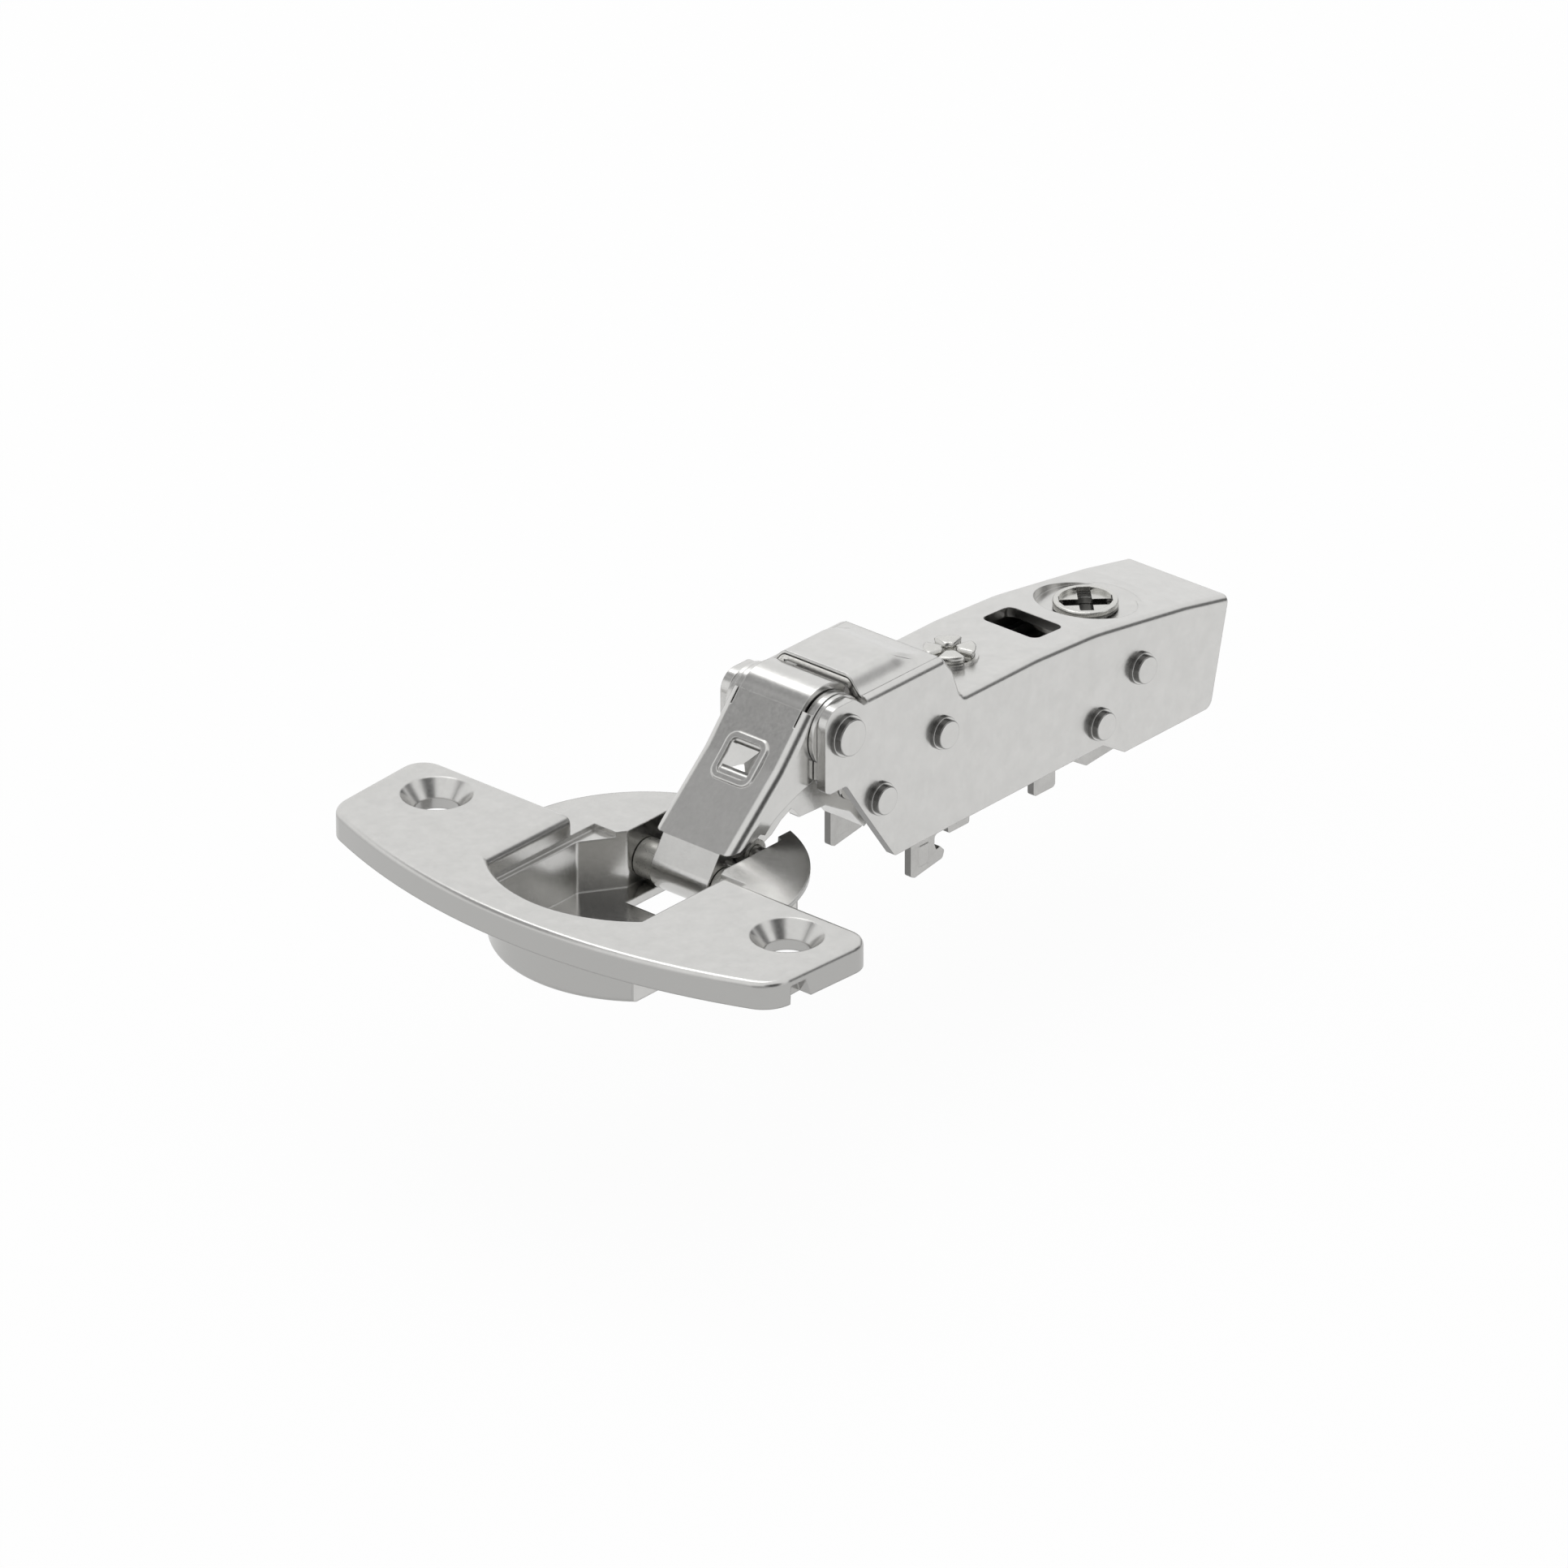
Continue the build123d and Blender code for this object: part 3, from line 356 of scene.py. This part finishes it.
# the profile is turned round the axle: x = x0 + r cos(a), z = z0 + r sin(a), y = side * distance
def makeRivet(name, rivet):
    profile = np.array(rivetProfile(rivet))
    if len(rivet["sides"]) == 2:
        mirrored = profile[:2:-1] * (-1, 1, 1)
        profile = np.concatenate([mirrored, profile[3:]])
    else:
        profile = profile * (rivet["sides"][0], 1, 1)
    angle = 2 * np.pi * np.arange(rivetHead["turns"]) / rivetHead["turns"]
    rings = profile[1:-1]
    x = rivet["at"][0] + rings[:, 1:2] * np.cos(angle)
    z = rivet["at"][1] + rings[:, 1:2] * np.sin(angle)
    y = np.repeat(rings[:, :1], len(angle), axis=1)
    points = np.stack([x, y, z], axis=-1).reshape(-1, 3)
    ends = [(rivet["at"][0], profile[0, 0], rivet["at"][1]), (rivet["at"][0], profile[-1, 0], rivet["at"][1])]
    points = np.concatenate([points, ends]) / 1000
    number = np.arange(rings.shape[0] * len(angle)).reshape(rings.shape[0], -1)
    after = np.roll(number, -1, axis=1)
    faces = np.stack([number[:-1], after[:-1], after[1:], number[1:]], axis=-1).reshape(-1, 4).tolist()
    first, last = number.size, number.size + 1
    faces += np.stack([np.full(len(angle), first), after[0], number[0]], axis=-1).tolist()
    faces += np.stack([np.full(len(angle), last), number[-1], after[-1]], axis=-1).tolist()
    piece = addPiece(name + "_turned", bodyOf[name], points, faces, "rivetNickel")
    # painted shade on the rivet's sides and rims, stored per point
    paintedRimShade = piece.data.attributes.new("paintedRimShade", "FLOAT", "POINT")
    paintedRimShade.data.foreach_set("value", np.concatenate([np.repeat(rings[:, 2], len(angle)), [0.0, 0.0]]))
    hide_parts(name)


# raised lands of the side screw, millimetres and degrees: inner and outer radius, first: angle of the first
petals = {"centre": 52.0, "count": 4, "first": 45, "inner": 0.9, "outer": 2.72, "halfAngle": 31,
          "bottom": 7.2, "top": 8.6, "flare": 0.3, "dome": 0.09, "rows": 12, "columns": 16}


# height = top - dome * ((2 r' - 1)^4 + (2 a' - 1)^4) with r', a' from 0 to 1; the outer wall flares upwards
def makePetals():
    radial = np.linspace(0, 1, petals["rows"])
    around = np.linspace(0, 1, petals["columns"])
    gridR, gridA = np.meshgrid(radial, around, indexing="ij")
    for number in range(petals["count"]):
        middleAngle = petals["first"] + 360 / petals["count"] * number
        angle = np.radians(middleAngle + petals["halfAngle"] * (2 * gridA - 1))
        levels = []
        for level, flare in (("top", petals["flare"]), ("bottom", 0.0)):
            radius = petals["inner"] + (petals["outer"] + flare - petals["inner"]) * gridR
            height = np.full_like(radius, petals[level])
            if level == "top":
                height -= petals["dome"] * ((2 * gridR - 1) ** 4 + (2 * gridA - 1) ** 4)
            x = petals["centre"] + radius * np.cos(angle)
            levels.append(np.stack([x, radius * np.sin(angle), height], axis=-1).reshape(-1, 3))
        points = np.concatenate(levels) / 1000
        faces = blockFaces(petals["rows"], petals["columns"])
        addPiece("side_screw_land_%d" % (number + 1), "side_adjust_screw", points, faces, "screwNickel")


# rectangular nibs pressed in the rail's front hooks, millimetres: middle, half width, half height, faces of
# the flank, how far they stand out of each face and how deep their rims go into the sheet
nibs = {"x": 40.1, "z": -11.15, "halfWidth": 0.95, "halfHeight": 1.4, "outer": 6.45, "inner": 5.55,
        "proud": 0.1, "innerProud": 0.06, "hold": 0.04, "sharp": 12, "steps": 33}


# depth below the crest = (proud + hold) * (u^sharp + v^sharp), u and v from -1 to 1 over the rectangle
def makeRailNibs():
    across = np.sin(np.linspace(-np.pi / 2, np.pi / 2, nibs["steps"]))
    gridU, gridV = np.meshgrid(across, across, indexing="ij")
    fall = gridU ** nibs["sharp"] + gridV ** nibs["sharp"]
    x = nibs["x"] + nibs["halfWidth"] * gridU
    z = nibs["z"] + nibs["halfHeight"] * gridV
    outside = nibs["outer"] + nibs["proud"] - (nibs["proud"] + nibs["hold"]) * fall
    inside = nibs["inner"] - nibs["innerProud"] + (nibs["innerProud"] + nibs["hold"]) * fall
    for name, side in (("rail_nib_near", -1), ("rail_nib_far", 1)):
        sheets = [np.stack([x, side * y, z], axis=-1).reshape(-1, 3) for y in (outside, inside)]
        points = np.concatenate(sheets) / 1000
        addPiece(name, "base_rail", points, blockFaces(nibs["steps"], nibs["steps"]), "railNickel")


# level: under the lowest place that the arm swings to, reach: half the floor's width; metres
# backdropShare: how much of the floor is seen as plain white, the rest keeps the shadow
ground = {"colour": (0.97, 0.97, 0.97), "rough": 0.9, "level": -0.0315, "reach": 4.0,
          "backdropShare": {"Is Camera Ray": 0.94, "Is Glossy Ray": 0.4, "Is Transmission Ray": 0.82}}


def makeFloor():
    level, size = ground["level"], ground["reach"]
    mesh = bpy.data.meshes.new("floor")
    corners = [(-size, -size, level), (size, -size, level), (size, size, level), (-size, size, level)]
    mesh.from_pydata(corners, [], [(0, 1, 2, 3)])
    floor = bpy.data.objects.new("floor", mesh)
    bpy.context.scene.collection.objects.link(floor)
    material = bpy.data.materials.new("paleFloor")
    material.use_nodes = True
    tree = material.node_tree
    shader = tree.nodes["Principled BSDF"]
    shader.inputs["Base Color"].default_value = (*ground["colour"], 1)
    shader.inputs["Roughness"].default_value = ground["rough"]
    shader.inputs["Specular IOR Level"].default_value = 0.0
    white = addNode(tree, "ShaderNodeEmission", {"Color": (1, 1, 1, 1), "Strength": 1.0})
    path = addNode(tree, "ShaderNodeLightPath")
    seen = None
    for kind, share in ground["backdropShare"].items():
        part = addNode(tree, "ShaderNodeMath", operation="MULTIPLY")
        tree.links.new(path.outputs[kind], part.inputs[0])
        part.inputs[1].default_value = share
        if seen is None:
            seen = part.outputs[0]
            continue
        either = addNode(tree, "ShaderNodeMath", operation="MAXIMUM")
        tree.links.new(seen, either.inputs[0])
        tree.links.new(part.outputs[0], either.inputs[1])
        seen = either.outputs[0]
    mix = addNode(tree, "ShaderNodeMixShader")
    tree.links.new(seen, mix.inputs["Fac"])
    tree.links.new(shader.outputs["BSDF"], mix.inputs[1])
    tree.links.new(white.outputs["Emission"], mix.inputs[2])
    tree.links.new(mix.outputs["Shader"], tree.nodes["Material Output"].inputs["Surface"])
    mesh.materials.append(material)


# base: plain level of the studio; patches: soft round cards, azimuth and height in degrees,
# reach: half angle where a card starts to fade, fade: width of the fade
studio = {
    "base": 0.95,
    "patches": [
        {"azimuth": -38, "height": 10, "reach": 14, "fade": 13, "level": 0.14},
        {"azimuth": -106, "height": 32, "reach": 16, "fade": 16, "level": 0.10},
        {"azimuth": -150, "height": 10, "reach": 12, "fade": 24, "level": 0.5},
        {"azimuth": 131, "height": 38, "reach": 4, "fade": 11, "level": 0.34},
        {"azimuth": 104, "height": 50, "reach": 6, "fade": 12, "level": 0.35},
        {"azimuth": 0, "height": -8, "reach": 14, "fade": 16, "level": 0.15},
    ],
}


def makeWorld():
    world = bpy.data.worlds.new("studio")
    bpy.context.scene.world = world
    world.use_nodes = True
    tree = world.node_tree
    tree.nodes.clear()
    where = addNode(tree, "ShaderNodeTexCoord").outputs["Generated"]
    level = addNode(tree, "ShaderNodeValue")
    level.outputs[0].default_value = studio["base"]
    mixed = level.outputs[0]
    for patch in studio["patches"]:
        turn, lift = math.radians(patch["azimuth"]), math.radians(patch["height"])
        aim = (math.cos(turn) * math.cos(lift), math.sin(turn) * math.cos(lift), math.sin(lift))
        dot = addNode(tree, "ShaderNodeVectorMath", operation="DOT_PRODUCT")
        tree.links.new(where, dot.inputs[0])
        dot.inputs[1].default_value = aim
        inner = math.cos(math.radians(patch["reach"]))
        outer = math.cos(math.radians(patch["reach"] + patch["fade"]))
        card = addNode(tree, "ShaderNodeMapRange", {"From Min": outer, "From Max": inner},
                       interpolation_type="SMOOTHSTEP")
        tree.links.new(dot.outputs["Value"], card.inputs["Value"])
        blend = addNode(tree, "ShaderNodeMix", data_type="FLOAT")
        tree.links.new(card.outputs["Result"], blend.inputs["Factor"])
        tree.links.new(mixed, blend.inputs["A"])
        blend.inputs["B"].default_value = patch["level"]
        mixed = blend.outputs["Result"]
    room = addNode(tree, "ShaderNodeBackground", {"Strength": 1.0})
    tree.links.new(mixed, room.inputs["Color"])
    output = addNode(tree, "ShaderNodeOutputWorld")
    tree.links.new(room.outputs["Background"], output.inputs["Surface"])


# place in metres, aimed at the middle of the object; power in watts
lamps = {
    "keyBox": {"place": (0.26, 0.40, 0.80), "size": (0.4, 0.4), "power": 0.9},
}
middle = Vector((0.035, 0.0, 0.0))


def makeLamps():
    for name, lamp in lamps.items():
        data = bpy.data.lights.new(name, "AREA")
        data.shape = "RECTANGLE"
        data.size, data.size_y = lamp["size"]
        data.energy = lamp["power"]
        light = bpy.data.objects.new(name, data)
        light.location = lamp["place"]
        light.rotation_euler = (middle - light.location).to_track_quat("-Z", "Y").to_euler()
        bpy.context.scene.collection.objects.link(light)


# fitted to the photograph: place in metres, its right, up and back directions, lens for a 36 mm frame
view = {
    "place": (-0.98923, -0.88905, 0.68321),
    "right": (0.6594, -0.7518, -0.0007),
    "up": (0.3396, 0.2970, 0.8924),
    "back": (-0.6707, -0.5888, 0.4512),
    "lens": 309.88,
    "frame": 36.0,
    "nearest": 0.05,
}


def makeCamera():
    data = bpy.data.cameras.new("camera")
    data.sensor_width = view["frame"]
    data.lens = view["lens"]
    data.clip_start = view["nearest"]
    camera = bpy.data.objects.new("camera", data)
    turn = Matrix((view["right"], view["up"], view["back"])).transposed().to_quaternion().normalized()
    camera.matrix_world = Matrix.Translation(view["place"]) @ turn.to_matrix().to_4x4()
    bpy.context.scene.collection.objects.link(camera)
    bpy.context.scene.camera = camera


makeHoodHump()
makePetals()
makeRailNibs()
for rivetName, rivet in rivets.items():
    makeRivet(rivetName, rivet)
print("stage: finer pieces")
makeFloor()
makeWorld()
makeLamps()
makeCamera()
bpy.context.scene.view_settings.view_transform = "Standard"
print("stage: studio ready")
